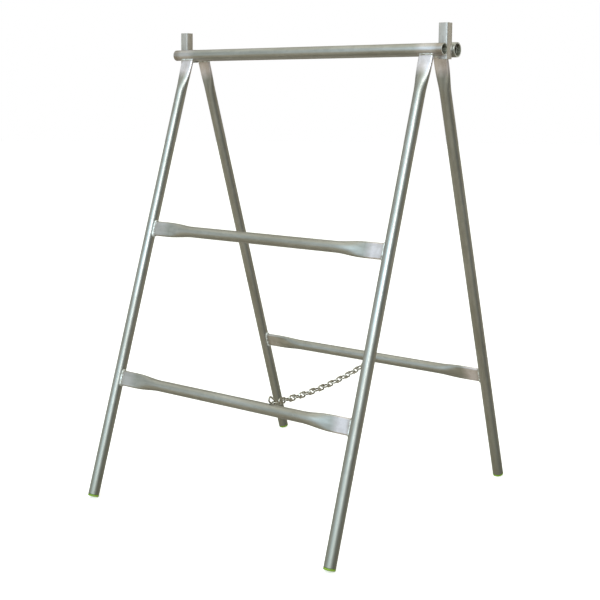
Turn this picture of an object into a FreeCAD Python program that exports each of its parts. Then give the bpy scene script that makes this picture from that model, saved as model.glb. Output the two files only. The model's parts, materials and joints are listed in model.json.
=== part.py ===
import FreeCAD, Part
import math
import os
import Sketcher

# Folding sawhorse of welded galvanised tube, in millimetres.
#
# Origin: on the floor, midway between the four feet. +X runs along the top tubes to the
# right-hand end, +Y from the front frame (two rails) to the back frame (one rail), +Z up.
#
# Two flat frames lean against each other. Each is a top tube with two legs welded under it and
# rails between the legs; leg tops and rail ends are pressed flat before welding. At each end of
# the front top tube stands a square stop post, and behind each post a short hinge sleeve. The
# back frame's top tube turns in the two sleeves. A chain between the lower rails stops the
# frames from sliding apart: its first link is welded to one rail and its last to the other.

os.makedirs("parts", exist_ok=True)
doc = FreeCAD.newDocument("folding_sawhorse")
Vector = FreeCAD.Vector
Placement = FreeCAD.Placement
Rotation = FreeCAD.Rotation

# ---------------------------------------------------------------- driving dimensions (mm, deg)

DIMENSIONS = {
    "tube_od": 26.9,
    "tube_wall": 2.3,
    "top_tube_length": 802.0,
    "leg_spacing": 716.0,
    "leg_reach": 1146.0,
    "lean_angle": 18.2,
    "middle_rail_drop": 463.0,
    "lower_rail_drop": 848.0,
    "flat_thickness": 8.0,
    "leg_flat_length": 12.0,
    "leg_taper_length": 80.0,
    "rail_flat_length": 38.0,
    "rail_taper_length": 90.0,
    "weld_root": 0.2,
    "post_width": 23.0,
    "post_wall": 2.0,
    "post_corner_radius": 2.5,
    "post_length": 80.0,
    "post_rise": 58.5,
    "post_inset": 13.0,
    "sleeve_od": 33.7,
    "sleeve_length": 24.0,
    "hinge_clearance": 0.1,
    "sleeve_end_play": 3.0,
    "back_tube_recess": 9.0,
    "plug_flange": 6.0,
    "plug_edge_radius": 1.5,
    "plug_stem_length": 22.0,
    "plug_wall": 2.5,
    "plug_clearance": 0.1,
    "chain_wire": 4.0,
    "chain_inner_width": 8.0,
    "chain_clearance": 0.3,
    "chain_sag": 14.8,
    "chain_front_x": 122.0,
    "chain_back_x": 21.0,
    "anchor_reach": 12.0,
    "front_anchor_angle": 35.0,
    "back_anchor_angle": 74.0,
}

sheet = doc.addObject("Spreadsheet::Sheet", "Dims")
for row, (alias, value) in enumerate(DIMENSIONS.items(), start=1):
    sheet.set(f"A{row}", alias)
    sheet.set(f"B{row}", str(value))
    sheet.setAlias(f"B{row}", alias)
doc.recompute()


def dim(alias):
    """The sheet's value of one driving dimension."""
    return float(sheet.get(alias))


# ---------------------------------------------------------------- values worked out from them

LEAN = math.radians(dim("lean_angle"))
TUBE_RADIUS = dim("tube_od") / 2
LEG_X = dim("leg_spacing") / 2

# The square-cut foot plugs stand on their inner edges, so the middle of a plug's end face is
# this far above the floor.
EDGE = dim("plug_edge_radius")
FOOT_LIFT = (TUBE_RADIUS - EDGE) * math.sin(LEAN) + EDGE * (1 - math.cos(LEAN))
HINGE_HEIGHT = FOOT_LIFT + dim("leg_reach") * math.cos(LEAN)

# Front tube, post and sleeve lie side by side, each a weld root apart.
FRONT_TO_POST = TUBE_RADIUS + dim("weld_root") + dim("post_width") / 2
POST_TO_BACK = dim("post_width") / 2 + dim("weld_root") + dim("sleeve_od") / 2
TUBE_Y = (FRONT_TO_POST + POST_TO_BACK) / 2
POST_Y = FRONT_TO_POST - TUBE_Y
POST_X = dim("top_tube_length") / 2 - dim("post_inset")

# A tube pressed flat keeps its perimeter, so it gets wider as it gets thinner.
FLAT_WIDTH = dim("flat_thickness") + math.pi / 2 * (dim("tube_od") - dim("flat_thickness"))
SLEEVE_X = LEG_X + FLAT_WIDTH / 2 + dim("sleeve_end_play") + dim("sleeve_length") / 2
BACK_TUBE_LENGTH = 2 * SLEEVE_X + dim("sleeve_length") - 2 * dim("back_tube_recess")

# The pressed faces are very slightly crowned: half the angle the crown turns through.
FLATTEST_CROWN = math.radians(2.0)
TAPER_STEPS = 6

FRONT, BACK = -1, 1
LEFT, RIGHT = -1, 1
SIDES = {"left": LEFT, "right": RIGHT}

# Rotations that lay a local Z along X, and back.
Z_ALONG_X = Rotation(Vector(0, 1, 0), 90)
UPRIGHT = Rotation()


def frame_axes(side):
    """A frame's own axes: XZ is the frame's plane and the origin is on its top tube's axis."""
    tilt = Rotation(Vector(1, 0, 0), side * dim("lean_angle"))
    return Placement(Vector(0, side * TUBE_Y, HINGE_HEIGHT), tilt)


# ---------------------------------------------------------------- building blocks


def new_body(name):
    body = doc.addObject("PartDesign::Body", name)
    body.Label = name
    return body


def new_sketch(body, name, role, offset="0"):
    """A sketch on one of the body's origin planes, moved along its normal by an expression."""
    plane = next(item for item in body.Origin.OriginFeatures if item.Role == role)
    sketch = body.newObject("Sketcher::SketchObject", name)
    sketch.AttachmentSupport = [(plane, "")]
    sketch.MapMode = "FlatFace"
    sketch.setExpression("AttachmentOffset.Base.z", offset)
    sketch.Visibility = False
    return sketch


def bind(sketch, kind, *target, expression, guess=10.0):
    """A dimensional constraint that follows an expression."""
    number = sketch.addConstraint(Sketcher.Constraint(kind, *target, guess))
    sketch.setExpression(f"Constraints[{number}]", expression)


def add_circle(sketch, radius):
    """A circle about the sketch's origin."""
    index = sketch.addGeometry(Part.Circle(Vector(), Vector(0, 0, 1), 10.0), False)
    sketch.addConstraint(Sketcher.Constraint("Coincident", index, 3, -1, 1))
    bind(sketch, "Radius", index, expression=radius)


def add_square(sketch, side):
    """A square centred on the sketch's origin."""
    corners = [Vector(x, y, 0) for x, y in ((-5, -5), (5, -5), (5, 5), (-5, 5))]
    for start, end in zip(corners, corners[1:] + corners[:1]):
        sketch.addGeometry(Part.LineSegment(start, end), False)
    for step in range(4):
        sketch.addConstraint(Sketcher.Constraint("Coincident", step, 2, (step + 1) % 4, 1))
        direction = "Vertical" if step % 2 else "Horizontal"
        sketch.addConstraint(Sketcher.Constraint(direction, step))
    sketch.addConstraint(Sketcher.Constraint("Symmetric", 0, 1, 2, 1, -1, 1))
    bind(sketch, "DistanceX", 0, 1, 0, 2, expression=side)
    bind(sketch, "DistanceY", 1, 1, 1, 2, expression=side)


def add_pad(body, name, sketch, length, centred=False):
    feature = body.newObject("PartDesign::Pad", name)
    feature.Profile = sketch
    feature.SideType = "Symmetric" if centred else "One side"
    feature.setExpression("Length", length)
    return feature


def round_tube(name, length, outer_radius, inner_radius):
    """A straight tube along X, centred on the origin."""
    body = new_body(name)
    sketch = new_sketch(body, "Section", "YZ_Plane")
    add_circle(sketch, outer_radius)
    add_circle(sketch, inner_radius)
    add_pad(body, "Tube", sketch, length, centred=True)
    return body


def oval_arcs(inset, squash):
    """The four tangent arcs of a pressed tube's outline, wide along X, as (centre, radius,
    start angle, end angle). squash 0 is round and squash 1 is flat. Each arc keeps its length
    as the tube is pressed; inset moves the outline in from the tube's outside."""
    side_arc = math.pi / 2 * dim("flat_thickness")
    crown_arc = math.pi / 2 * dim("tube_od") - side_arc
    round_crown = crown_arc / dim("tube_od")
    crown = round_crown * (1 - squash) + FLATTEST_CROWN * squash
    side = math.pi / 2 - crown
    crown_radius = crown_arc / (2 * crown)
    side_radius = side_arc / (2 * side)
    side_x = (crown_radius - side_radius) * math.sin(crown)
    crown_y = (crown_radius - side_radius) * math.cos(crown)
    arcs = []
    for turn, radius, half_angle, centre in (
        (0, side_radius, side, Vector(side_x, 0, 0)),
        (1, crown_radius, crown, Vector(0, -crown_y, 0)),
        (2, side_radius, side, Vector(-side_x, 0, 0)),
        (3, crown_radius, crown, Vector(0, crown_y, 0)),
    ):
        middle = turn * math.pi / 2
        arcs.append((centre, radius - inset, middle - half_angle, middle + half_angle))
    return arcs


def pressed_end(flat, taper):
    """(distance from the tube's end as an expression, squash) from the end to the round tube."""
    stations = [("0", 1.0)]
    for step in range(TAPER_STEPS + 1):
        share = step / TAPER_STEPS
        squash = 1 - share * share * (3 - 2 * share)
        stations.append((f"{flat} + {taper} * {share:.6f}", squash))
    return stations


def pressed_tube(name, length, flat, taper, both_ends):
    """A tube along local Z from the origin, pressed flat at its far end or at both, wide along
    local X where it is flat."""
    end = pressed_end(flat, taper)
    near = end if both_ends else [("0", 0.0)]
    far = [(f"{length} - ({distance})", squash) for distance, squash in reversed(end)]
    body = new_body(name)
    for kind, inset in (("AdditiveLoft", 0.0), ("SubtractiveLoft", dim("tube_wall"))):
        sections = []
        for index, (height, squash) in enumerate(near + far):
            sketch = new_sketch(body, f"{kind}Section{index}", "XY_Plane", height)
            for centre, radius, start, stop in oval_arcs(inset, squash):
                circle = Part.Circle(centre, Vector(0, 0, 1), radius)
                sketch.addGeometry(Part.ArcOfCircle(circle, start, stop), False)
            for step in range(4):
                joint = Sketcher.Constraint("Coincident", step, 2, (step + 1) % 4, 1)
                sketch.addConstraint(joint)
            sections.append(sketch)
        loft = body.newObject(f"PartDesign::{kind}", kind)
        loft.Profile = sections[0]
        loft.Sections = sections[1:]
        loft.Ruled = True
    return body


def saddle_cut(name, piece, tube_axis):
    """The piece cut back to sit against a tube along the placement's local Z."""
    cutter = doc.addObject("Part::Cylinder", f"{name}_cutter")
    cutter.setExpression("Radius", "Dims.tube_od / 2 + Dims.weld_root")
    cutter.setExpression("Height", "4 * Dims.tube_od")
    centred = Placement(Vector(0, 0, -2 * dim("tube_od")), UPRIGHT)
    cutter.Placement = tube_axis.multiply(centred)
    cut = doc.addObject("Part::Cut", f"{name}_saddle")
    cut.Base = piece
    cut.Tool = cutter
    return cut


nodes = []


def keep(piece, name):
    """Marks a finished piece for export under its node name."""
    piece.Label = name
    nodes.append(piece)


# ---------------------------------------------------------------- top tubes, posts and sleeves

TUBE_OUTSIDE = "Dims.tube_od / 2"
TUBE_INSIDE = "Dims.tube_od / 2 - Dims.tube_wall"

front_top_tube = round_tube("front_tube", "Dims.top_tube_length", TUBE_OUTSIDE, TUBE_INSIDE)
front_top_tube.Placement.Base = Vector(0, FRONT * TUBE_Y, HINGE_HEIGHT)
keep(front_top_tube, "front_top_tube")

back_top_tube = round_tube("back_tube", str(BACK_TUBE_LENGTH), TUBE_OUTSIDE, TUBE_INSIDE)
back_top_tube.Placement.Base = Vector(0, BACK * TUBE_Y, HINGE_HEIGHT)
keep(back_top_tube, "back_top_tube")


def stop_post(name, side):
    """A square tube standing between the front top tube and the hinge sleeve."""
    body = new_body(name)
    outline = new_sketch(body, "Outline", "XY_Plane")
    add_square(outline, "Dims.post_width")
    block = add_pad(body, "Block", outline, "Dims.post_length")
    doc.recompute()
    upright_edges = [
        f"Edge{index}"
        for index, edge in enumerate(block.Shape.Edges, start=1)
        if abs(edge.tangentAt(edge.FirstParameter).z) > 0.99
    ]
    corners = body.newObject("PartDesign::Fillet", "Corners")
    corners.Base = (block, upright_edges)
    corners.setExpression("Radius", "Dims.post_corner_radius")
    inside = new_sketch(body, "Inside", "XY_Plane")
    add_square(inside, "Dims.post_width - 2 * Dims.post_wall")
    bore = body.newObject("PartDesign::Pocket", "Bore")
    bore.Profile = inside
    bore.Type = "ThroughAll"
    bore.Reversed = True
    bottom = HINGE_HEIGHT + dim("post_rise") - dim("post_length")
    body.Placement.Base = Vector(side * POST_X, POST_Y, bottom)
    keep(body, name)


def hinge_sleeve(name, side):
    """A short tube round one end of the back top tube."""
    bore = "Dims.tube_od / 2 + Dims.hinge_clearance"
    body = round_tube(name, "Dims.sleeve_length", "Dims.sleeve_od / 2", bore)
    body.Placement.Base = Vector(side * SLEEVE_X, BACK * TUBE_Y, HINGE_HEIGHT)
    keep(body, name)


for side_name, side in SIDES.items():
    stop_post(f"{side_name}_stop_post", side)
    hinge_sleeve(f"{side_name}_hinge_sleeve", side)

# ---------------------------------------------------------------- legs, rails and foot plugs


def leg(name, frame, side):
    """A leg from its foot plug up to the top tube, its top pressed flat along the top tube."""
    length = "(Dims.leg_reach - Dims.plug_flange - Dims.plug_clearance)"
    flat = "Dims.tube_od / 2 + Dims.leg_flat_length"
    body = pressed_tube(f"{name}_tube", length, flat, "Dims.leg_taper_length", both_ends=False)
    bottom = dim("plug_flange") + dim("plug_clearance") - dim("leg_reach")
    body.Placement = frame.multiply(Placement(Vector(side * LEG_X, 0, bottom), UPRIGHT))
    top_tube_axis = frame.multiply(Placement(Vector(side * LEG_X, 0, 0), Z_ALONG_X))
    keep(saddle_cut(name, body, top_tube_axis), name)


def rail(name, frame, drop):
    """A rail between the legs, both ends pressed flat in the frame's plane."""
    flat = "Dims.tube_od / 2 + Dims.rail_flat_length"
    piece = pressed_tube(f"{name}_tube", "Dims.leg_spacing", flat, "Dims.rail_taper_length", True)
    piece.Placement = frame.multiply(Placement(Vector(-LEG_X, 0, -drop), Z_ALONG_X))
    for side_name, side in SIDES.items():
        leg_axis = frame.multiply(Placement(Vector(side * LEG_X, 0, -drop), UPRIGHT))
        piece = saddle_cut(f"{name}_{side_name}", piece, leg_axis)
    keep(piece, name)


def foot_plug(name, frame, side):
    """A plastic plug pushed into the foot of a leg: a rounded flange with a hollow stem."""
    body = new_body(name)
    disc = new_sketch(body, "Disc", "XY_Plane")
    add_circle(disc, "Dims.tube_od / 2")
    flange = add_pad(body, "Flange", disc, "Dims.plug_flange")
    doc.recompute()
    bottom_edge = [
        f"Edge{index}"
        for index, edge in enumerate(flange.Shape.Edges, start=1)
        if edge.BoundBox.ZMax < dim("plug_flange") / 2
    ]
    rounding = body.newObject("PartDesign::Fillet", "Rounding")
    rounding.Base = (flange, bottom_edge)
    rounding.setExpression("Radius", "Dims.plug_edge_radius")
    ring = new_sketch(body, "Ring", "XY_Plane", "Dims.plug_flange / 2")
    stem_radius = "Dims.tube_od / 2 - Dims.tube_wall - Dims.plug_clearance"
    add_circle(ring, stem_radius)
    add_circle(ring, f"{stem_radius} - Dims.plug_wall")
    add_pad(body, "Stem", ring, "Dims.plug_flange / 2 + Dims.plug_stem_length")
    body.Placement = frame.multiply(Placement(Vector(side * LEG_X, 0, -dim("leg_reach")), UPRIGHT))
    keep(body, name)


for frame_name, frame_side in (("front", FRONT), ("back", BACK)):
    frame = frame_axes(frame_side)
    for side_name, side in SIDES.items():
        leg(f"{frame_name}_{side_name}_leg", frame, side)
        foot_plug(f"{frame_name}_{side_name}_foot_plug", frame, side)
    rail(f"{frame_name}_lower_rail", frame, dim("lower_rail_drop"))

rail("front_middle_rail", frame_axes(FRONT), dim("middle_rail_drop"))

# ---------------------------------------------------------------- chain

# Links alternate: upright ones with odd numbers and level ones with even numbers. A level
# link's end passes through the upright links either side of it, and the joints lie on the
# middles of the level links' ends.
LINK_COUNT = 23
LEVEL_LINKS = LINK_COUNT // 2
MOVING_UPRIGHT_LINKS = LEVEL_LINKS - 1

LINK_HALF_WIDTH = dim("chain_inner_width") / 2 + dim("chain_wire")
LINK_OVERLAP = dim("chain_wire") + dim("chain_clearance")
RAIL_TO_LINK = TUBE_RADIUS + dim("weld_root") + LINK_HALF_WIDTH

RAIL_Y = TUBE_Y + dim("lower_rail_drop") * math.sin(LEAN)
RAIL_Z = HINGE_HEIGHT - dim("lower_rail_drop") * math.cos(LEAN)
FRONT_RAIL_POINT = Vector(dim("chain_front_x"), FRONT * RAIL_Y, RAIL_Z)
BACK_RAIL_POINT = Vector(dim("chain_back_x"), BACK * RAIL_Y, RAIL_Z)

UP = Vector(0, 0, 1)
HEADING = (BACK_RAIL_POINT - FRONT_RAIL_POINT).normalize()
YAW = math.degrees(math.atan2(HEADING.y, HEADING.x))

# The first and last links are welded to the sides of the rails that face each other. Each one's
# anchor angle is how far round its rail it sits, from straight up towards the other rail.
FRONT_TURN = math.radians(dim("front_anchor_angle"))
FRONT_NORMAL = HEADING * math.sin(FRONT_TURN) + UP * math.cos(FRONT_TURN)
FRONT_AXIS = HEADING * math.cos(FRONT_TURN) - UP * math.sin(FRONT_TURN)
BACK_TURN = math.radians(dim("back_anchor_angle"))
BACK_NORMAL = UP * math.cos(BACK_TURN) - HEADING * math.sin(BACK_TURN)
BACK_AXIS = HEADING * math.cos(BACK_TURN) + UP * math.sin(BACK_TURN)
CHAIN_START = FRONT_RAIL_POINT + FRONT_NORMAL * RAIL_TO_LINK + FRONT_AXIS * dim("anchor_reach")
CHAIN_END = BACK_RAIL_POINT + BACK_NORMAL * RAIL_TO_LINK - BACK_AXIS * dim("anchor_reach")

# The hanging chain follows a parabola; the links' length is what makes them fill it.
SAG_POLE = (CHAIN_START + CHAIN_END) * 0.5 - UP * 2 * dim("chain_sag")
curve = Part.BezierCurve()
curve.setPoles([CHAIN_START, SAG_POLE, CHAIN_END])
hanging = curve.toShape()
SHORTENING = 2 * LINK_OVERLAP * MOVING_UPRIGHT_LINKS
LINK_SPAN = (hanging.Length + SHORTENING) / (LEVEL_LINKS + MOVING_UPRIGHT_LINKS)


def chain_link(name, centre, axis, level):
    """A closed link of round wire, its length along the axis."""
    body = new_body(name)
    half_width = "(Dims.chain_inner_width + Dims.chain_wire) / 2"
    spine = new_sketch(body, "Spine", "XZ_Plane")
    side_z = dim("chain_inner_width") / 2 + dim("chain_wire") / 2
    bend_x = LINK_SPAN / 2 - side_z
    top = [Vector(-bend_x, side_z, 0), Vector(bend_x, side_z, 0)]
    bottom = [Vector(bend_x, -side_z, 0), Vector(-bend_x, -side_z, 0)]
    bends = [Part.Circle(Vector(x, 0, 0), Vector(0, 0, 1), side_z) for x in (-bend_x, bend_x)]
    spine.addGeometry(Part.LineSegment(*top), False)
    spine.addGeometry(Part.ArcOfCircle(bends[1], -math.pi / 2, math.pi / 2), False)
    spine.addGeometry(Part.LineSegment(*bottom), False)
    spine.addGeometry(Part.ArcOfCircle(bends[0], math.pi / 2, 3 * math.pi / 2), False)
    for line, line_end, arc, arc_end in ((0, 2, 1, 2), (1, 1, 2, 1), (2, 2, 3, 2), (3, 1, 0, 1)):
        spine.addConstraint(Sketcher.Constraint("Tangent", line, line_end, arc, arc_end))
    spine.addConstraint(Sketcher.Constraint("Horizontal", 0))
    spine.addConstraint(Sketcher.Constraint("Symmetric", 1, 3, 3, 3, -1, 1))
    bind(spine, "Radius", 1, expression=half_width)
    bind(spine, "DistanceX", 3, 3, 1, 3, expression=f"{LINK_SPAN} - 2 * {half_width}")
    wire = new_sketch(body, "Wire", "YZ_Plane")
    wire.addGeometry(Part.Circle(Vector(0, side_z, 0), Vector(0, 0, 1), dim("chain_wire") / 2), False)
    wire.addConstraint(Sketcher.Constraint("PointOnObject", 0, 3, -2))
    bind(wire, "DistanceY", -1, 1, 0, 3, expression=half_width)
    bind(wire, "Radius", 0, expression="Dims.chain_wire / 2")
    sweep = body.newObject("PartDesign::AdditivePipe", "Sweep")
    sweep.Profile = wire
    sweep.Spine = spine
    pitch = -math.degrees(math.asin(axis.z))
    body.Placement = Placement(centre, Rotation(YAW, pitch, 90 if level else 0))
    keep(body, name)


# From a welded link's middle to the joint inside its end.
WELDED_REACH = LINK_SPAN / 2 - LINK_OVERLAP

chain_link("chain_link_01", CHAIN_START - FRONT_AXIS * WELDED_REACH, FRONT_AXIS, level=False)
travelled = 0.0
for number in range(2, LINK_COUNT):
    level = number % 2 == 0
    span = LINK_SPAN if level else LINK_SPAN - 2 * LINK_OVERLAP
    start = hanging.valueAt(hanging.getParameterByLength(travelled))
    travelled += span
    finish = hanging.valueAt(hanging.getParameterByLength(min(travelled, hanging.Length)))
    axis = (finish - start).normalize()
    chain_link(f"chain_link_{number:02d}", (start + finish) * 0.5, axis, level)
last = f"chain_link_{LINK_COUNT:02d}"
chain_link(last, CHAIN_END + BACK_AXIS * WELDED_REACH, BACK_AXIS, level=False)

# ---------------------------------------------------------------- checks and export

doc.recompute()
for item in doc.Objects:
    if {"Invalid", "Error"} & set(item.State):
        raise RuntimeError(f"{item.Label}: {item.State}")
for piece in nodes:
    shape = piece.Shape
    if shape.isNull() or not shape.isValid() or len(shape.Solids) != 1:
        raise RuntimeError(f"{piece.Label} is not one valid solid")
    shape.exportStep(f"parts/{piece.Label}.step")
    box = shape.BoundBox
    print(
        f"{piece.Label}: {shape.Volume:.0f} mm3,"
        f" x {box.XMin:.1f}..{box.XMax:.1f}, y {box.YMin:.1f}..{box.YMax:.1f},"
        f" z {box.ZMin:.1f}..{box.ZMax:.1f}"
    )
print(f"link span {LINK_SPAN:.3f}, chain start {CHAIN_START}, end {CHAIN_END}")
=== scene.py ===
import json
import math

import bmesh
import bpy
from mathutils import Matrix, Vector, noise


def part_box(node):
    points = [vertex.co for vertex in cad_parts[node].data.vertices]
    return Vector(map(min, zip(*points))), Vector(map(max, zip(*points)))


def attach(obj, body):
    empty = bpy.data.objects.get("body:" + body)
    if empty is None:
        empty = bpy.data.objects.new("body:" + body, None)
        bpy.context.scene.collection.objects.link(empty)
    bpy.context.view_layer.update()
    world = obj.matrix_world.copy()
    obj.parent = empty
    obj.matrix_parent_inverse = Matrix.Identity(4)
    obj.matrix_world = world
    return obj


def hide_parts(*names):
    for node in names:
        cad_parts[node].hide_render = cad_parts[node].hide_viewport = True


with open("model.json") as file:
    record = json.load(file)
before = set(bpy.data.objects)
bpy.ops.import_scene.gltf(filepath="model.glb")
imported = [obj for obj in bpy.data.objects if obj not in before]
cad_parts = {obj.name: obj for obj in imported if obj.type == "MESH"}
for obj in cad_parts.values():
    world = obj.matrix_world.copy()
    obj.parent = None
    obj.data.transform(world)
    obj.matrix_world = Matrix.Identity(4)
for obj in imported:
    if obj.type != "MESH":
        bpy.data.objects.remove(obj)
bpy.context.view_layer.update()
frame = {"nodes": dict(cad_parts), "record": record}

FRONT_BODY = "front_frame"
BACK_BODY = "back_frame"
MM = 0.001
UP = Vector((0, 0, 1))

# ---------------------------------------------------------------- sizes from the frame, in metres


def size_of(node):
    low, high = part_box(node)
    return high - low


def middle_of(node):
    low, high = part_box(node)
    return (low + high) / 2


fold = next(joint for joint in frame["record"]["behaviour"]["joints"] if joint["name"] == "fold")
LEAN = math.radians(fold["range_deg"][1]) / 2
HINGE = Vector(fold["pos_m"])

TUBE_OD = size_of("front_top_tube").y
TUBE_RADIUS = TUBE_OD / 2
TUBE_WALL = 2.3 * MM
LEG_X = middle_of("front_right_foot_plug").x
FLOOR_Z = 0.0

# Tube ends pressed flat: the same lengths as the CAD part.
FLAT_THICKNESS = 8.0 * MM
LEG_FLAT = 12.0 * MM
LEG_TAPER = 80.0 * MM
RAIL_FLAT = 38.0 * MM
RAIL_TAPER = 90.0 * MM
WELD_ROOT = 0.2 * MM

HINGE_CLEARANCE = 0.1 * MM
POST_WALL = 2.0 * MM
POST_CORNER = 2.5 * MM
POST_EDGE = 0.4 * MM

PLUG_FLANGE = 6.0 * MM
PLUG_EDGE = 1.5 * MM
PLUG_STEM = 22.0 * MM
PLUG_WALL = 2.5 * MM
PLUG_CLEARANCE = 0.1 * MM
FOOT_LIFT = (TUBE_RADIUS - PLUG_EDGE) * math.sin(LEAN) + PLUG_EDGE * (1 - math.cos(LEAN))
LEG_REACH = (HINGE.z - FOOT_LIFT) / math.cos(LEAN)


def frame_axes(side):
    """A frame's own axes: XZ is its plane and the origin is on its top tube's axis."""
    place = Matrix.Translation((0, side * HINGE.y, HINGE.z))
    return place @ Matrix.Rotation(side * LEAN, 4, "X")


def drop_of(rail):
    """How far down the legs a rail is."""
    return (HINGE.z - middle_of(rail).z) / math.cos(LEAN)


# ---------------------------------------------------------------- materials


def new_material(name):
    material = bpy.data.materials.new(name)
    material.use_nodes = True
    material.node_tree.nodes.clear()
    return material


class Nodes:
    """Short calls for building one material's node tree."""

    def __init__(self, material):
        self.tree = material.node_tree

    def add(self, kind, **settings):
        node = self.tree.nodes.new(kind)
        for key, value in settings.items():
            setattr(node, key, value)
        return node

    def link(self, source, target):
        self.tree.links.new(source, target)

    def mapped(self, scale):
        """The object's own coordinates, scaled, and different on each object."""
        coordinates = self.add("ShaderNodeTexCoord")
        info = self.add("ShaderNodeObjectInfo")
        shift = self.add("ShaderNodeVectorMath", operation="SCALE")
        shift.inputs[0].default_value = (7.0, 3.0, 5.0)
        self.link(info.outputs["Random"], shift.inputs["Scale"])
        mapping = self.add("ShaderNodeMapping")
        mapping.inputs["Scale"].default_value = scale
        self.link(coordinates.outputs["Object"], mapping.inputs["Vector"])
        self.link(shift.outputs["Vector"], mapping.inputs["Location"])
        return mapping.outputs["Vector"]

    def noise(self, scale, detail=4.0, roughness=0.55, distortion=0.0):
        node = self.add("ShaderNodeTexNoise")
        node.inputs["Scale"].default_value = 1.0
        node.inputs["Detail"].default_value = detail
        node.inputs["Roughness"].default_value = roughness
        node.inputs["Distortion"].default_value = distortion
        self.link(self.mapped(scale), node.inputs["Vector"])
        return node.outputs["Fac"]

    def cells(self, scale):
        node = self.add("ShaderNodeTexVoronoi", feature="F1")
        node.inputs["Scale"].default_value = 1.0
        self.link(self.mapped(scale), node.inputs["Vector"])
        return node.outputs["Color"]

    def ramp(self, value, stops):
        node = self.add("ShaderNodeValToRGB")
        elements = node.color_ramp.elements
        while len(elements) < len(stops):
            elements.new(0.5)
        for element, (place, colour) in zip(elements, stops):
            element.position = place
            element.color = (*colour, 1.0)
        self.link(value, node.inputs["Fac"])
        return node.outputs["Color"]

    def range(self, value, low, high, to_low, to_high):
        node = self.add("ShaderNodeMapRange")
        for key, number in (
            ("From Min", low),
            ("From Max", high),
            ("To Min", to_low),
            ("To Max", to_high),
        ):
            node.inputs[key].default_value = number
        self.link(value, node.inputs["Value"])
        return node.outputs["Result"]

    def mix(self, factor, first, second, blend="MIX"):
        """Mixes two colours; each is a socket or a plain colour."""
        node = self.add("ShaderNodeMix", data_type="RGBA", blend_type=blend)
        for value, socket in ((factor, 0), (first, 6), (second, 7)):
            if isinstance(value, bpy.types.NodeSocket):
                self.link(value, node.inputs[socket])
            elif isinstance(value, tuple):
                node.inputs[socket].default_value = (*value, 1.0)
            else:
                node.inputs[socket].default_value = value
        return node.outputs[2]

    def bump(self, height, strength, distance, below=None):
        node = self.add("ShaderNodeBump")
        node.inputs["Strength"].default_value = strength
        node.inputs["Distance"].default_value = distance
        self.link(height, node.inputs["Height"])
        if below is not None:
            self.link(below, node.inputs["Normal"])
        return node.outputs["Normal"]

    def finish(self, colour, roughness, normal, **constants):
        shader = self.add("ShaderNodeBsdfPrincipled")
        self.link(colour, shader.inputs["Base Color"])
        self.link(roughness, shader.inputs["Roughness"])
        self.link(normal, shader.inputs["Normal"])
        for key, value in constants.items():
            shader.inputs[key.replace("_", " ").title()].default_value = value
        output = self.add("ShaderNodeOutputMaterial")
        self.link(shader.outputs["BSDF"], output.inputs["Surface"])


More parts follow.
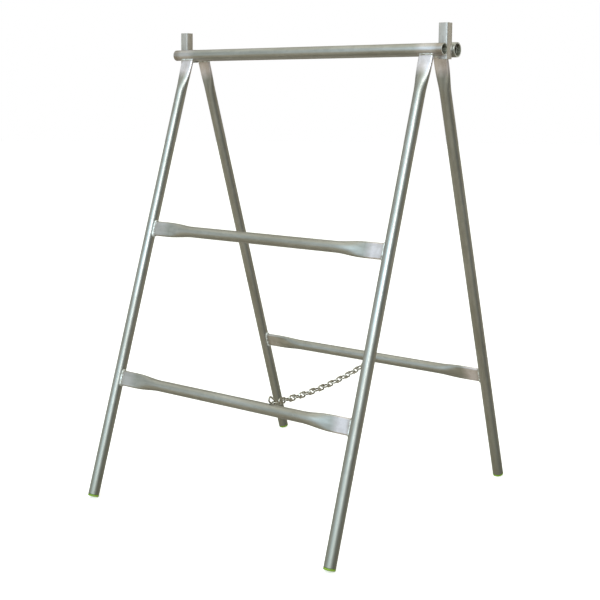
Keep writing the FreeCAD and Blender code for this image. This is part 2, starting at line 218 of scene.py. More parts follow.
def galvanised(name, light, dark, pressed=(), dulled=0.0, metallic=0.92):
    """Zinc-coated steel: faint crystal patches, streaks along the tube (local Z), dull spots and
    a slight grain. pressed lists (end, reach, share): a share of the stretch within reach of
    that end of the tube is painted pale, a painted reflection of bright light with real stain
    blotches in it, and welding has browned its last few mm.
    dulled is how far up from its lower end (Z = 0) a standing tube is darker and rougher, and it
    goes with pressed."""
    material = new_material(name)
    n = Nodes(material)
    streaks = n.noise((90.0, 90.0, 5.0), detail=6.0)
    clouds = n.noise((9.0, 9.0, 4.0), detail=5.0, distortion=0.4)
    crystals = n.cells((150.0, 150.0, 70.0))
    specks = n.noise((420.0, 420.0, 300.0), detail=3.0)
    colour = n.ramp(streaks, ((0.30, dark), (0.72, light)))
    colour = n.mix(n.range(clouds, 0.40, 0.66, 0.0, 0.42), colour, ZINC_CLOUD)
    grey = n.add("ShaderNodeRGBToBW")
    n.link(crystals, grey.inputs["Color"])
    facets = n.ramp(grey.outputs["Val"], ((0.0, (0.42, 0.42, 0.42)), (1.0, (0.58, 0.58, 0.58))))
    colour = n.mix(0.45, colour, facets, blend="OVERLAY")
    roughness = n.range(clouds, 0.3, 0.7, 0.27, 0.42)
    if pressed:
        split = n.add("ShaderNodeSeparateXYZ")
        n.link(n.add("ShaderNodeTexCoord").outputs["Object"], split.inputs["Vector"])
        blotches = n.noise((70.0, 70.0, 45.0), detail=5.0)
        # Painted reflection: the pale colour stands in for bright light on the pressed flats; the
        # stain blotches in it are real.
        painted_sheen_and_stains = n.mix(n.range(blotches, 0.42, 0.70, 0.0, 0.55), PAINTED_FLAT_SHEEN, PRESSED_STAIN)
    for place, reach, share in pressed:
        away = n.add("ShaderNodeMath", operation="SUBTRACT")
        away.inputs[1].default_value = place
        n.link(split.outputs["Z"], away.inputs[0])
        distance = n.add("ShaderNodeMath", operation="ABSOLUTE")
        n.link(away.outputs["Value"], distance.inputs[0])
        ragged = n.add("ShaderNodeMath", operation="MULTIPLY_ADD")
        ragged.inputs[1].default_value = 0.030
        n.link(clouds, ragged.inputs[0])
        n.link(distance.outputs["Value"], ragged.inputs[2])
        edge = reach + 0.015
        # The painted pale reflection fades from share to nothing just past reach.
        pale = n.range(ragged.outputs["Value"], edge - 0.010, edge + 0.012, share, 0.0)
        colour = n.mix(pale, colour, painted_sheen_and_stains)
        heat_edge = TUBE_RADIUS + 0.015
        heat = n.range(ragged.outputs["Value"], heat_edge - 0.004, heat_edge + 0.010, 0.60, 0.0)
        colour = n.mix(heat, colour, WELD_HEAT)
    if dulled:
        # Darker and rougher towards the tube's lower end.
        tone_mask = n.range(split.outputs["Z"], 0.0, dulled, 0.75, 0.0)
        colour = n.mix(tone_mask, colour, LOWER_LEG_DARK)
        roughness = n.mix(tone_mask, roughness, (0.50, 0.50, 0.50))
    colour = n.mix(n.range(specks, 0.62, 0.74, 0.0, 0.40), colour, DARK_SPECK)
    normal = n.bump(specks, 0.10, 0.0004)
    normal = n.bump(streaks, 0.16, 0.0006, normal)
    normal = n.bump(n.noise((30.0, 30.0, 9.0), detail=2.0), 0.10, 0.002, normal)
    n.finish(colour, roughness, normal, metallic=metallic)
    return material


def welded(name):
    """The zinc-covered weld metal: lumpy, brighter on its ripples and brown in its hollows."""
    material = new_material(name)
    n = Nodes(material)
    lumps = n.noise((500.0, 500.0, 500.0), detail=5.0)
    patches = n.noise((120.0, 120.0, 120.0), detail=3.0)
    colour = n.ramp(patches, ((0.36, (0.34, 0.31, 0.25)), (0.56, (0.80, 0.82, 0.80))))
    normal = n.bump(lumps, 0.45, 0.0008)
    n.finish(colour, n.range(lumps, 0.3, 0.7, 0.30, 0.52), normal, metallic=0.8)
    return material


def cut_metal(name):
    """Sawn ends of the tubes: dull and scratched."""
    material = new_material(name)
    n = Nodes(material)
    scratches = n.noise((900.0, 60.0, 900.0), detail=4.0)
    patches = n.noise((60.0, 60.0, 60.0), detail=4.0)
    colour = n.ramp(patches, ((0.35, (0.34, 0.33, 0.29)), (0.70, (0.58, 0.57, 0.52))))
    normal = n.bump(scratches, 0.25, 0.0004)
    n.finish(colour, n.range(scratches, 0.3, 0.7, 0.38, 0.58), normal, metallic=0.45)
    return material


def bore_metal(name):
    """The dark rusty inside of a tube, with paler zinc runs along it."""
    material = new_material(name)
    n = Nodes(material)
    runs = n.noise((70.0, 70.0, 12.0), detail=4.0)
    rust = n.noise((240.0, 240.0, 160.0), detail=4.0)
    colour = n.ramp(runs, ((0.38, (0.060, 0.052, 0.034)), (0.62, (0.40, 0.41, 0.33))))
    colour = n.mix(n.range(rust, 0.50, 0.72, 0.0, 0.6), colour, (0.12, 0.085, 0.05))
    normal = n.bump(rust, 0.30, 0.0006)
    n.finish(colour, n.range(runs, 0.3, 0.7, 0.60, 0.38), normal, metallic=0.55)
    return material


def bright_zinc(name):
    """The chain's thin bright plating, dirtied between the links."""
    material = new_material(name)
    n = Nodes(material)
    tone_mask = n.noise((160.0, 160.0, 160.0), detail=5.0)
    fine = n.noise((700.0, 700.0, 700.0), detail=3.0)
    colour = n.ramp(tone_mask, ((0.40, (0.30, 0.27, 0.21)), (0.60, (0.80, 0.79, 0.74))))
    normal = n.bump(fine, 0.18, 0.0004)
    n.finish(colour, n.range(tone_mask, 0.3, 0.7, 0.36, 0.16), normal, metallic=0.95)
    return material


def green_plastic(name):
    """Moulded yellow-green plastic, scuffed where it stands on the floor."""
    material = new_material(name)
    n = Nodes(material)
    tone = n.noise((80.0, 80.0, 80.0), detail=3.0)
    grain = n.noise((900.0, 900.0, 900.0), detail=2.0)
    colour = n.ramp(tone, ((0.30, (0.12, 0.22, 0.008)), (0.75, (0.20, 0.33, 0.012))))
    coordinates = n.add("ShaderNodeTexCoord")
    split = n.add("ShaderNodeSeparateXYZ")
    n.link(coordinates.outputs["Object"], split.inputs["Vector"])
    scuffs = n.range(split.outputs["Z"], 0.0, 0.0018, 0.55, 0.0)
    colour = n.mix(scuffs, colour, (0.15, 0.16, 0.07))
    # Painted shade: a near-black band just below the flange's top, in the gap under the leg's
    # end.
    painted_gap_shade = n.range(split.outputs["Z"], PLUG_FLANGE - 1.6 * MM, PLUG_FLANGE - 0.6 * MM, 0.0, 0.9)
    colour = n.mix(painted_gap_shade, colour, (0.02, 0.03, 0.012))
    normal = n.bump(grain, 0.12, 0.0003)
    n.finish(colour, n.range(tone, 0.3, 0.7, 0.40, 0.55), normal)
    return material


STEEL_LIGHT = (0.52, 0.52, 0.50)
STEEL_DARK = (0.36, 0.36, 0.33)
# Pale painted reflection on pressed flats, and the real stain in it.
PAINTED_FLAT_SHEEN = (0.88, 0.82, 0.86)
PRESSED_STAIN = (0.56, 0.50, 0.49)
WELD_HEAT = (0.26, 0.21, 0.16)
ZINC_CLOUD = (0.30, 0.27, 0.21)
# The darker tone towards a leg's lower end.
LOWER_LEG_DARK = (0.29, 0.29, 0.24)
DARK_SPECK = (0.20, 0.19, 0.16)

# The top tube's ends: painted pale reflection within 60 mm of each end, and weld browning.
TOP_ENDS = tuple((size_of("front_top_tube").x / 2 * side, 0.060, 0.45) for side in (-1, 1))
TUBE_STEEL = galvanised("galvanised_tube", STEEL_LIGHT, STEEL_DARK, TOP_ENDS)
LEG_TOP = LEG_REACH - PLUG_FLANGE
# The leg's top flat: strong painted pale reflection, and weld browning.
LEG_FLAT_SHEEN_AND_HEAT = ((LEG_TOP, TUBE_RADIUS + LEG_FLAT + 0.35 * LEG_TAPER, 0.92),)
LEG_STEEL = galvanised("galvanised_leg", STEEL_LIGHT, STEEL_DARK, LEG_FLAT_SHEEN_AND_HEAT, dulled=0.30)
# The rail flats: painted pale reflection, strong at the right ends, which face the light more,
# and weak at the left ends.
RAIL_FLAT_SHEEN_AND_HEAT = (
    (0.0, TUBE_RADIUS + RAIL_FLAT, 0.30),
    (2 * LEG_X, TUBE_RADIUS + RAIL_FLAT, 0.92),
)
RAIL_STEEL = galvanised("galvanised_rail", STEEL_LIGHT, STEEL_DARK, RAIL_FLAT_SHEEN_AND_HEAT)
POST_STEEL = galvanised("galvanised_post", (0.60, 0.575, 0.55), (0.46, 0.43, 0.40), metallic=0.75)
SLEEVE_STEEL = galvanised("galvanised_sleeve", (0.56, 0.57, 0.54), (0.36, 0.37, 0.33))
WELD_METAL = welded("weld_bead")
CUT_METAL = cut_metal("sawn_steel")
BORE_METAL = bore_metal("tube_bore")
CHAIN_ZINC = bright_zinc("zinc_chain")
PLUG_PLASTIC = green_plastic("green_plastic")

# ---------------------------------------------------------------- mesh helpers

POINTS_AROUND = 96


def mesh_object(name, vertices, faces, material, body, place=Matrix()):
    """A piece riding on a body. The mesh is in the piece's own axes."""
    mesh = bpy.data.meshes.new(name)
    mesh.from_pydata([tuple(v) for v in vertices], [], faces)
    mesh.validate()
    mesh.update()
    piece = bpy.data.objects.new(name, mesh)
    bpy.context.scene.collection.objects.link(piece)
    piece.matrix_world = place
    piece.data.materials.append(material)
    for polygon in mesh.polygons:
        polygon.use_smooth = True
    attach(piece, body)
    return piece


def skin(rings, along_closed=False):
    """Vertices and quads joining equal rings of points."""
    vertices = [point for ring in rings for point in ring]
    count = len(rings[0])
    faces = []
    for row in range(len(rings) if along_closed else len(rings) - 1):
        next_row = (row + 1) % len(rings)
        for column in range(count):
            next_column = (column + 1) % count
            faces.append(
                (
                    row * count + column,
                    row * count + next_column,
                    next_row * count + next_column,
                    next_row * count + column,
                )
            )
    return vertices, faces


def set_sharp(piece, degrees=38.0):
    """Marks edges between faces that turn more than this, so that shading breaks there."""
    piece.data.set_sharp_from_angle(angle=math.radians(degrees))


def lathe(name, profile, material, body, place):
    """A solid of revolution about local Z from a closed (radius, z) profile."""
    rings = []
    for step in range(POINTS_AROUND):
        turn = math.tau * step / POINTS_AROUND
        rings.append([Vector((r * math.cos(turn), r * math.sin(turn), z)) for r, z in profile])
    vertices, faces = skin(rings, along_closed=True)
    piece = mesh_object(name, vertices, faces, material, body, place)
    set_sharp(piece)
    return piece


def bevelled(corners, size, steps=3):
    """A closed (radius, z) outline with each corner rounded by size."""
    outline = []
    count = len(corners)
    for index, corner in enumerate(corners):
        here = Vector(corner)
        before = (Vector(corners[index - 1]) - here).normalized()
        after = (Vector(corners[(index + 1) % count]) - here).normalized()
        for step in range(steps + 1):
            share = step / steps
            start = here + before * size * (1 - share) ** 2
            outline.append(start + after * size * share**2)
    return outline


# ---------------------------------------------------------------- pressed tubes

FLATTEST_CROWN = math.radians(2.0)
TUBE_ROWS = 150
# How near a pressed tube's last even row comes to the axis of the tube that it sits on.
INSIDE_SADDLE = TUBE_RADIUS * 0.9


def oval_point(share, squash, inset=0.0):
    """A point on a pressed tube's outline, wide along X, a share of the way round from +X."""
    side_arc = math.pi / 2 * FLAT_THICKNESS
    crown_arc = math.pi / 2 * TUBE_OD - side_arc
    crown = crown_arc / TUBE_OD * (1 - squash) + FLATTEST_CROWN * squash
    side = math.pi / 2 - crown
    crown_radius = crown_arc / (2 * crown)
    side_radius = side_arc / (2 * side)
    side_x = (crown_radius - side_radius) * math.sin(crown)
    crown_y = (crown_radius - side_radius) * math.cos(crown)
    travel = (share % 1.0) * math.pi * TUBE_OD
    # Each arc's length, where it starts, its radius and its centre.
    arcs = (
        (side_arc / 2, 0.0, side_radius, (side_x, 0.0)),
        (crown_arc, math.pi / 2 - crown, crown_radius, (0.0, -crown_y)),
        (side_arc, math.pi - side, side_radius, (-side_x, 0.0)),
        (crown_arc, -math.pi / 2 - crown, crown_radius, (0.0, crown_y)),
        (side_arc / 2, -side, side_radius, (side_x, 0.0)),
    )
    for length, start, radius, (centre_x, centre_y) in arcs:
        if travel <= length:
            break
        travel -= length
    angle = start + travel / radius
    reach = radius - inset
    return Vector((centre_x + reach * math.cos(angle), centre_y + reach * math.sin(angle), 0.0))


def smooth_step(share):
    share = min(max(share, 0.0), 1.0)
    return share * share * (3 - 2 * share)


def saddle_height(point, length):
    """Where a tube whose end sits on another tube of the same size, crossing at length, stops."""
    radius = TUBE_RADIUS + WELD_ROOT
    return length - math.sqrt(max(radius * radius - point.y * point.y, 0.0))


def pressed_tube(name, length, flat, taper, both_ends, material, body, place):
    """A leg or rail along local Z, from the floor end or from one leg's axis to the other's."""
    flat += TUBE_RADIUS

    def squash_at(z):
        squash = 1 - smooth_step((length - z - flat) / taper)
        if both_ends:
            squash = max(squash, 1 - smooth_step((z - flat) / taper))
        return squash

    near = INSIDE_SADDLE if both_ends else 0.0
    far = length - INSIDE_SADDLE
    heights = [near + (far - near) * row / TUBE_ROWS for row in range(TUBE_ROWS + 1)]
    rings = []
    for inset, ordered in ((0.0, heights), (TUBE_WALL, heights[::-1])):
        for z in ordered:
            ring = []
            for step in range(POINTS_AROUND):
                share = step / POINTS_AROUND
                point = oval_point(share, squash_at(z), inset)
                point.z = min(z, saddle_height(point, length))
                if both_ends:
                    point.z = max(point.z, length - saddle_height(point, length))
                ring.append(point)
            rings.append(ring)
    vertices, faces = skin(rings, along_closed=True)
    piece = mesh_object(
        f"{name}_tube", vertices, faces, material, body, place
    )
    set_sharp(piece, 50.0)
    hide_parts(name)


# ---------------------------------------------------------------- weld beads

BEAD_STEP = 0.7 * MM
BEAD_SIDES = 10
BEAD_RIPPLE = 2.6 * MM
SADDLE_STEPS = 120
LEG_WELD = 2.3 * MM
RAIL_LEFT_WELD = 3.4 * MM
RAIL_RIGHT_WELD = 2.8 * MM
POST_WELD = 1.7 * MM
POST_SIDE_WELD = 1.5 * MM
POST_FILLET = 1.9 * MM
CHAIN_WELD = 2.2 * MM


def resampled(points, closed):
    """Points at equal steps along a polyline."""
    path = points + [points[0]] if closed else points
    lengths = [(b - a).length for a, b in zip(path, path[1:])]
    total = sum(lengths)
    count = max(6, round(total / BEAD_STEP))
    result = []
    index = 0
    passed = 0.0
    for step in range(count if closed else count + 1):
        target = total * step / count
        while index < len(lengths) - 1 and passed + lengths[index] < target:
            passed += lengths[index]
            index += 1
        share = (target - passed) / max(lengths[index], 1e-9)
        result.append(path[index].lerp(path[index + 1], min(max(share, 0.0), 1.0)))
    return result


def weld_bead(name, points, radius, body, place=Matrix(), closed=False, seed=0.0):
    """A run of weld metal along a line: overlapping scale-like ripples of uneven size."""
    path = resampled(points, closed)
    count = len(path)
    rings = []
    for index, point in enumerate(path):
        before = path[(index - 1) % count] if closed or index else point
        after = path[(index + 1) % count] if closed or index < count - 1 else point
        along = (after - before).normalized()
        across = along.orthogonal().normalized()
        other = along.cross(across)
        walked = index * BEAD_STEP
        saw = (walked / BEAD_RIPPLE) % 1.0
        swell = 0.92 + 0.20 * (1 - saw) + 0.22 * noise.noise(Vector((walked * 180, seed, 0)))
        if not closed:
            end = min(index, count - 1 - index) / 3.0
            swell *= math.sqrt(min(1.0, 0.15 + end))
        ring = []
        for side in range(BEAD_SIDES):
            turn = math.tau * side / BEAD_SIDES
            lump = 1 + 0.10 * noise.noise(Vector((walked * 350, seed + side, 3.0)))
            out = across * math.cos(turn) + other * math.sin(turn)
            ring.append(point + out * radius * swell * lump)
        rings.append(ring)
    # Each ring starts where the last one does, so that the skin doesn't twist.
    for index in range(1, len(rings)):
        previous = rings[index - 1][0]
        shift = min(range(BEAD_SIDES), key=lambda k: (rings[index][k] - previous).length)
        rings[index] = rings[index][shift:] + rings[index][:shift]
    vertices, faces = skin(rings)
    if closed:
        offset = len(vertices) - BEAD_SIDES
        shift = min(range(BEAD_SIDES), key=lambda k: (rings[0][k] - rings[-1][0]).length)
        for side in range(BEAD_SIDES):
            a, b = (side + shift) % BEAD_SIDES, (side + 1 + shift) % BEAD_SIDES
            faces.append((offset + side, offset + (side + 1) % BEAD_SIDES, b, a))
    else:
        faces.append(tuple(range(BEAD_SIDES))[::-1])
        faces.append(tuple(range(len(vertices) - BEAD_SIDES, len(vertices))))
    return mesh_object(name, vertices, faces, WELD_METAL, body, place)


def saddle_bead(name, length, near_end, radius, body, place, seed):
    """The weld all round a pressed tube's end, where it meets the tube that it sits on."""
    points = []
    for step in range(SADDLE_STEPS):
        point = oval_point(step / SADDLE_STEPS, 1.0)
        z = saddle_height(point, length)
        point.z = length - z if near_end else z
        points.append(point)
    return weld_bead(name, points, radius, body, place, closed=True, seed=seed)


# ---------------------------------------------------------------- the two frames

SIDES = {"left": -1, "right": 1}
LAY_ALONG_X = Matrix.Rotation(math.pi / 2, 4, "Y")


def leg(frame_name, side_name, axes, body, seed):
    side = SIDES[side_name]
    name = f"{frame_name}_{side_name}_leg"
    place = axes @ Matrix.Translation((side * LEG_X, 0, -LEG_TOP))
    pressed_tube(name, LEG_TOP, LEG_FLAT, LEG_TAPER, False, LEG_STEEL, body, place)
    saddle_bead(f"{name}_top_weld", LEG_TOP, False, LEG_WELD, body, place, seed)


def rail(name, axes, body, seed):
    place = axes @ Matrix.Translation((-LEG_X, 0, -drop_of(name))) @ LAY_ALONG_X
    length = 2 * LEG_X
    pressed_tube(name, length, RAIL_FLAT, RAIL_TAPER, True, RAIL_STEEL, body, place)
    saddle_bead(f"{name}_left_weld", length, True, RAIL_LEFT_WELD, body, place, seed + 1)
    saddle_bead(f"{name}_right_weld", length, False, RAIL_RIGHT_WELD, body, place, seed + 2)


def foot_plug(frame_name, side_name, axes, body):
    """A plug's rounded flange with a moulded ring under it, and its stem inside the leg."""
    name = f"{frame_name}_{side_name}_foot_plug"
    place = axes @ Matrix.Translation((SIDES[side_name] * LEG_X, 0, -LEG_REACH))
    stem = TUBE_RADIUS - TUBE_WALL - PLUG_CLEARANCE
    bore = stem - PLUG_WALL
    ring = 0.45 * TUBE_RADIUS
    profile = [
        (0.02 * MM, 0.6 * MM),
        (ring - 0.8 * MM, 0.6 * MM),
        (ring, 0.0),
        (ring + 1.2 * MM, 0.0),
        (ring + 1.6 * MM, 0.35 * MM),
        (ring + 2.4 * MM, 0.0),
    ]
    for step in range(9):
        turn = math.pi / 2 * step / 8
        reach = TUBE_RADIUS - PLUG_EDGE + PLUG_EDGE * math.sin(turn)
        profile.append((reach, PLUG_EDGE - PLUG_EDGE * math.cos(turn)))
    profile += [
        (TUBE_RADIUS, PLUG_FLANGE - 0.3 * MM),
        (TUBE_RADIUS - 0.3 * MM, PLUG_FLANGE),
        (stem, PLUG_FLANGE),
        (stem, PLUG_FLANGE + PLUG_STEM),
        (bore, PLUG_FLANGE + PLUG_STEM),
        (bore, PLUG_FLANGE),
        (0.02 * MM, PLUG_FLANGE),
    ]
    piece = lathe(f"{name}_moulding", profile, PLUG_PLASTIC, body, place)
    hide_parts(name)


def open_tube(name, inner_radius, material, body):
    """A straight tube along X: slightly rounded sawn ends and a dark bore."""
    low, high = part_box(name)
    centre = (low + high) / 2
    half = (high.x - low.x) / 2
    outer = (high.y - low.y) / 2
    corners = [(inner_radius, -half), (outer, -half), (outer, half), (inner_radius, half)]
    outline = bevelled(corners, 0.5 * MM)
    place = Matrix.Translation(centre) @ LAY_ALONG_X
    piece = lathe(f"{name}_metal", outline, material, body, place)
    piece.data.materials.append(CUT_METAL)
    piece.data.materials.append(BORE_METAL)
    for polygon in piece.data.polygons:
        at_end = half - abs(polygon.center.z) < 0.6 * MM
        from_axis = math.hypot(polygon.center.x, polygon.center.y)
        if from_axis < inner_radius + 0.1 * (outer - inner_radius):
            polygon.material_index = 2
        elif at_end and from_axis < outer - 0.05 * (outer - inner_radius):
            polygon.material_index = 1
    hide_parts(name)


def stop_post(side_name):
    """A square tube with rounded corners and open, sawn ends."""
    name = f"{side_name}_stop_post"
    low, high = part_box(name)
    half = (high.x - low.x) / 2
    height = high.z - low.z

    def outline(inset, z):
        points = []
        reach = half - inset
        radius = max(POST_CORNER - inset, 0.6 * MM)
        for quarter in range(4):
            for step in range(7):
                turn = math.pi / 2 * (quarter + step / 6)
                middle = math.pi / 2 * (quarter + 0.5)
                x = math.copysign(reach - radius, math.cos(middle)) + radius * math.cos(turn)
                y = math.copysign(reach - radius, math.sin(middle)) + radius * math.sin(turn)
                points.append(Vector((x, y, z)))
        return points

    rings = [
        outline(POST_EDGE, 0.0),
        outline(0.0, POST_EDGE),
        outline(0.0, height - POST_EDGE),
        outline(POST_EDGE, height),
        outline(POST_WALL - POST_EDGE, height),
        outline(POST_WALL, height - POST_EDGE),
        outline(POST_WALL, POST_EDGE),
        outline(POST_WALL - POST_EDGE, 0.0),
    ]
    vertices, faces = skin(rings, along_closed=True)
    place = Matrix.Translation(((low.x + high.x) / 2, (low.y + high.y) / 2, low.z))
    piece = mesh_object(
        f"{name}_metal", vertices, faces, POST_STEEL, FRONT_BODY, place
    )
    piece.data.materials.append(CUT_METAL)
    around = len(rings[0])
    sawn_rows = (3, 5, 7)
    for polygon in piece.data.polygons:
        if polygon.index // around in sawn_rows:
            polygon.material_index = 1
    set_sharp(piece)
    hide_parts(name)


def post_welds(side_name, seed):
    """Fillets above and below the lines where a post touches the top tube and the sleeve."""
    low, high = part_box(f"{side_name}_stop_post")
    outside = SIDES[side_name] > 0
    for label, node, face_y, toward in (
        ("tube", "front_top_tube", low.y, -1),
        ("sleeve", f"{side_name}_hinge_sleeve", high.y, 1),
    ):
        tube_low, tube_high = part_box(node)
        radius = (tube_high.z - tube_low.z) / 2
        start = max(low.x, tube_low.x) + 0.8 * MM
        stop = min(high.x, tube_high.x) - 0.8 * MM
        axis_y = (tube_low.y + tube_high.y) / 2
        axis_z = (tube_low.z + tube_high.z) / 2
        for where, sign in (("top", 1), ("bottom", -1)):
            # The fillet lies where the round tube has fallen away from the post by its own size.
            turn = math.acos(1 - POST_FILLET / radius)
            z = axis_z + sign * radius * math.sin(turn) * 1.02
            y = face_y + toward * POST_FILLET * 0.45
            points = [Vector((start, y, z)), Vector((stop, y, z))]
            name = f"{side_name}_post_{label}_{where}_weld"
            weld_bead(name, points, POST_WELD, FRONT_BODY, seed=seed + sign)
        edge_x = low.x if outside else high.x
        arc = []
        for step in range(21):
            turn = math.radians(-32 + 64 * step / 20)
            y = axis_y - toward * radius * math.cos(turn)
            z = axis_z + radius * math.sin(turn)
            arc.append(Vector((edge_x, (y + face_y) / 2, z)))
        name = f"{side_name}_post_{label}_side_weld"
        weld_bead(name, arc, POST_SIDE_WELD, FRONT_BODY, seed=seed + 5)


for frame_name, frame_side, body in (("front", -1, FRONT_BODY), ("back", 1, BACK_BODY)):
    axes = frame_axes(frame_side)
    for number, side_name in enumerate(SIDES):
        leg(frame_name, side_name, axes, body, seed=11.0 * frame_side + 3.0 * number)
        foot_plug(frame_name, side_name, axes, body)
    rail(f"{frame_name}_lower_rail", axes, body, seed=23.0 + frame_side)
rail("front_middle_rail", frame_axes(-1), FRONT_BODY, seed=31.0)

TUBE_BORE = TUBE_RADIUS - TUBE_WALL
SLEEVE_BORE = TUBE_RADIUS + HINGE_CLEARANCE
open_tube("front_top_tube", TUBE_BORE, TUBE_STEEL, FRONT_BODY)
open_tube("back_top_tube", TUBE_BORE, TUBE_STEEL, BACK_BODY)
for number, side_name in enumerate(SIDES):
    sleeve = f"{side_name}_hinge_sleeve"
    open_tube(sleeve, SLEEVE_BORE, SLEEVE_STEEL, FRONT_BODY)
    stop_post(side_name)
    post_welds(side_name, seed=41.0 + 7.0 * number)

# ---------------------------------------------------------------- chain

# The wire's and links' sizes: the same as in the CAD part.
WIRE_RADIUS = 2.0 * MM
WIRE_SIDES = 14
BEND_STEPS = 24
LINK_COUNT = sum(1 for name in frame["nodes"] if name.startswith("chain_link_"))
LINK_NAMES = [f"chain_link_{number:02d}" for number in range(1, LINK_COUNT + 1)]
LINK_CENTRES = [middle_of(name) for name in LINK_NAMES]
along_chain = (LINK_CENTRES[-2] - LINK_CENTRES[1]).normalized()
HEADING = Vector((along_chain.x, along_chain.y, 0)).normalized()
SIDEWAYS = UP.cross(HEADING)
HALF_WIDTH = 6.0 * MM
OVERLAP = 4.3 * MM
# Two links on, the chain has gone one level link's length and one upright link's, less overlaps.
TWO_LINKS = (LINK_CENTRES[LINK_COUNT // 2 + 1] - LINK_CENTRES[LINK_COUNT // 2 - 1]).length
BEND_X = (TWO_LINKS / 2 + OVERLAP) / 2 - HALF_WIDTH


def welded_axis(index):
    """An end link stands upright and slopes up toward its own end of the chain."""
    rise = size_of(LINK_NAMES[index]).z / 2 - HALF_WIDTH - WIRE_RADIUS
    slope = math.asin(min(rise / BEND_X, 1.0))
    if index == 0:
        slope = -slope
    return HEADING * math.cos(slope) + UP * math.sin(slope)


def link_axis(index):
    """The direction of a link's length."""
    last = LINK_COUNT - 1
    if index in (0, last):
        return welded_axis(index)
    if index in (1, last - 1):
        end, onward = (0, 1) if index == 1 else (last, -1)
        reach = TWO_LINKS / 4 - OVERLAP / 2
        tip = LINK_CENTRES[end] + welded_axis(end) * onward * reach
        return ((LINK_CENTRES[index] - tip) * onward).normalized()
    return (LINK_CENTRES[index + 1] - LINK_CENTRES[index - 1]).normalized()


def link_bend(middle_x, start):
    """The wire's centre line round one end of a link."""
    points = []
    for step in range(1, BEND_STEPS):
        turn = start - math.pi * step / BEND_STEPS
        x = middle_x + HALF_WIDTH * math.cos(turn)
        points.append(Vector((x, 0, HALF_WIDTH * math.sin(turn))))
    return points


def link_line():
    """The wire's centre line, in the link's own XZ plane, from the middle of one long side."""
    points = [Vector((BEND_X * step / 8, 0, HALF_WIDTH)) for step in range(9)]
    points += link_bend(BEND_X, math.pi / 2)
    points += [Vector((BEND_X - 2 * BEND_X * step / 16, 0, -HALF_WIDTH)) for step in range(17)]
    points += link_bend(-BEND_X, -math.pi / 2)
    points += [Vector((-BEND_X + BEND_X * step / 8, 0, HALF_WIDTH)) for step in range(8)]
    return points


def chain_link(index):
    """A closed link of round wire, swollen at the butt weld in the middle of one side."""
    name = LINK_NAMES[index]
    axis = link_axis(index)
    upward = axis.cross(SIDEWAYS)
    if upward.z < 0:
        upward = -upward
    level = index % 2 == 1
    flat_normal, wide = (upward, SIDEWAYS) if level else (SIDEWAYS, upward)
    place = Matrix((axis, flat_normal, wide)).transposed().to_4x4()
    place.translation = LINK_CENTRES[index]
    line = link_line()
    count = len(line)
    rings = []
    for step, point in enumerate(line):
        along = (line[(step + 1) % count] - line[step - 1]).normalized()
        outward = Vector((-along.z, 0, along.x))
        from_weld = abs(point.x) if point.z > 0 else 1.0
        swell = 1 + 0.13 * math.exp(-((from_weld / (0.9 * MM)) ** 2))
        reach = WIRE_RADIUS * swell
        ring = []
        for side in range(WIRE_SIDES):
            turn = math.tau * side / WIRE_SIDES
            across = outward * reach * math.cos(turn)
            ring.append(point + across + Vector((0, 1, 0)) * reach * math.sin(turn))
        rings.append(ring)
    vertices, faces = skin(rings, along_closed=True)
    body = name.replace("chain_", "")
    if index == 0:
        body = FRONT_BODY
    elif index == LINK_COUNT - 1:
        body = BACK_BODY
    piece = mesh_object(
        f"{name}_wire", vertices, faces, CHAIN_ZINC, body, place
    )
    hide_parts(name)


for index in range(LINK_COUNT):
    chain_link(index)

# Small welds that hold the end links to the rails.
for name, index, body in (("front", 0, FRONT_BODY), ("back", LINK_COUNT - 1, BACK_BODY)):
    rail_middle = middle_of(f"{name}_lower_rail")
    toward = rail_middle - LINK_CENTRES[index]
    toward.x = 0
    contact = LINK_CENTRES[index] + toward.normalized() * (toward.length - TUBE_RADIUS)
    along = link_axis(index) * 4.0 * MM
    run = [contact - along, contact + along]
    weld_bead(f"{name}_chain_weld", run, CHAIN_WELD, body, seed=61.0)

# ---------------------------------------------------------------- floor, light and camera


def emitter(name, colour, strength, pale=None):
    """A glowing white, over a matt surface where pale gives its colour."""
    material = new_material(name)
    n = Nodes(material)
    glow = n.add("ShaderNodeEmission")
    glow.inputs["Color"].default_value = (*colour, 1.0)
    glow.inputs["Strength"].default_value = strength
    surface = glow.outputs["Emission"]
    if pale:
        matt = n.add("ShaderNodeBsdfDiffuse")
        matt.inputs["Color"].default_value = (*pale, 1.0)
        both = n.add("ShaderNodeAddShader")
        n.link(surface, both.inputs[0])
        n.link(matt.outputs["BSDF"], both.inputs[1])
        surface = both.outputs["Shader"]
    output = n.add("ShaderNodeOutputMaterial")
    n.link(surface, output.inputs["Surface"])
    return material


SET_REACH = 24.0


def stage_object(name, mesh, material):
    """Part of the set. The metal doesn't reflect it, and it stops no light from the sky."""
    part = bpy.data.objects.new(name, mesh)
    bpy.context.scene.collection.objects.link(part)
    mesh.materials.append(material)
    part.visible_glossy = False
    part.visible_shadow = False
    return part


def floor():
    mesh = bpy.data.meshes.new("floor")
    corners = [(-1, -1), (1, -1), (1, 1), (-1, 1)]
    points = [(x * SET_REACH, y * SET_REACH, FLOOR_Z) for x, y in corners]
    mesh.from_pydata(points, [], [(0, 1, 2, 3)])
    stage_object("floor", mesh, emitter("pale_floor", (1, 1, 1), 0.52, pale=(0.90, 0.90, 0.90)))


def backdrop():
    """A plain white shell round the set."""
    shell = bmesh.new()
    bmesh.ops.create_icosphere(shell, subdivisions=4, radius=SET_REACH)
    mesh = bpy.data.meshes.new("backdrop")
    shell.to_mesh(mesh)
    shell.free()
    part = stage_object("backdrop", mesh, emitter("white_backdrop", (1, 1, 1), 1.0))
    part.visible_diffuse = False


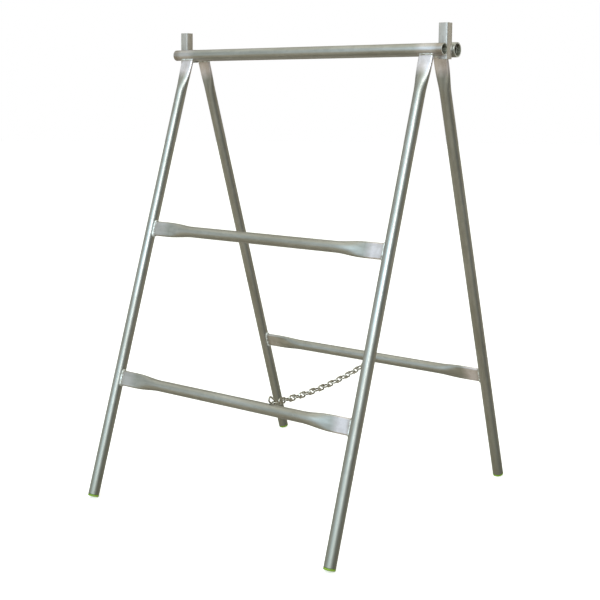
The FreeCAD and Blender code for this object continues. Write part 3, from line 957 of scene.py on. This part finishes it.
def area_light(name, place, aim, width, height, glow, colour):
    """A soft box. glow is how bright its face is."""
    data = bpy.data.lights.new(name, "AREA")
    data.shape = "RECTANGLE"
    data.size = width
    data.size_y = height
    data.energy = glow * math.pi * width * height
    data.color = colour
    lamp = bpy.data.objects.new(name, data)
    bpy.context.scene.collection.objects.link(lamp)
    lamp.location = place
    lamp.rotation_euler = (Vector(aim) - Vector(place)).to_track_quat("-Z", "Y").to_euler()


# Directions in the room, and the colours that the metal reflects from them.
ROOM_LEFT = Vector((-0.80, -0.60, 0.0))
ROOM_BACK = Vector((-0.60, 0.80, 0.0))
ROOM_FAR = Vector((0.60, 0.80, 0.0))
ROOM_SIDE = Vector((-1.0, 0.0, 0.0))
ROOM_COOL = (0.95, 1.16, 1.30)
ROOM_OLIVE = (0.58, 0.64, 0.63)
ROOM_DIM = (0.17, 0.175, 0.145)
ROOM_BEHIND = (0.36, 0.34, 0.28)
ROOM_TAN = (0.42, 0.39, 0.30)
ROOM_CEILING = (1.00, 1.00, 0.86)
ROOM_GROUND = (0.44, 0.40, 0.28)
ROOM_NADIR = (0.25, 0.225, 0.16)


def studio():
    """The room the metal reflects: cool in front and olive at the left, dim and warm behind and
    below, and pale overhead, with a bright soft box behind the camera and a dimmer, bluer one
    to its left."""
    world = bpy.data.worlds.new("studio")
    bpy.context.scene.world = world
    world.use_nodes = True
    n = Nodes(world)
    world.node_tree.nodes.clear()
    direction = n.add("ShaderNodeTexCoord").outputs["Generated"]

    def along(axis, low, high):
        """0 to 1 as the direction's share along axis goes from low to high."""
        dot = n.add("ShaderNodeVectorMath", operation="DOT_PRODUCT")
        n.link(direction, dot.inputs[0])
        dot.inputs[1].default_value = axis
        share = n.add("ShaderNodeMapRange", interpolation_type="SMOOTHSTEP")
        share.inputs["From Min"].default_value = low
        share.inputs["From Max"].default_value = high
        n.link(dot.outputs["Value"], share.inputs["Value"])
        return share.outputs["Result"]

    ground = n.mix(along(-UP, 0.45, 0.95), ROOM_GROUND, ROOM_NADIR)
    walls = n.mix(along(ROOM_SIDE, 0.05, 0.62), ROOM_COOL, ROOM_OLIVE)
    colour = n.mix(along(-UP, 0.0, 0.35), walls, ground)
    colour = n.mix(along(ROOM_LEFT, -0.55, -0.10), ROOM_DIM, colour)
    colour = n.mix(along(ROOM_BACK, 0.25, 0.85), colour, ROOM_BEHIND)
    colour = n.mix(along(ROOM_FAR, 0.80, 0.97), colour, ROOM_TAN)
    colour = n.mix(along(UP, 0.42, 0.92), colour, ROOM_CEILING)
    background = n.add("ShaderNodeBackground")
    n.link(colour, background.inputs["Color"])
    output = n.add("ShaderNodeOutputWorld")
    n.link(background.outputs["Background"], output.inputs["Surface"])
    aim = (0.0, 0.0, 0.6)
    place = (4.25, -7.65, 5.4)
    area_light("front_box", place, aim, width=3.0, height=6.6, glow=5.2, colour=(0.93, 0.98, 1.0))
    place = (0.0, -8.80, 5.0)
    area_light("cool_box", place, aim, width=4.6, height=6.8, glow=1.5, colour=(0.60, 0.84, 1.0))


CAMERA_PLACE = Vector((1.6330, -2.1957, 0.9753))
CAMERA_AZIMUTH = 36.85
CAMERA_DIP = 7.32
CAMERA_ROLL = 0.39
CAMERA_LENS = 66.58
CAMERA_SHIFT = -0.0932


def camera():
    data = bpy.data.cameras.new("camera")
    data.lens = CAMERA_LENS
    data.sensor_width = 36.0
    data.shift_y = CAMERA_SHIFT
    data.clip_end = 60.0
    view = bpy.data.objects.new("camera", data)
    bpy.context.scene.collection.objects.link(view)
    turn = Matrix.Rotation(math.radians(CAMERA_AZIMUTH), 4, "Z")
    dip = Matrix.Rotation(math.radians(90 - CAMERA_DIP), 4, "X")
    roll = Matrix.Rotation(math.radians(CAMERA_ROLL), 4, "Z")
    view.matrix_world = Matrix.Translation(CAMERA_PLACE) @ turn @ dip @ roll
    bpy.context.scene.camera = view


floor()
backdrop()
studio()
camera()
bpy.context.scene.view_settings.view_transform = "Standard"
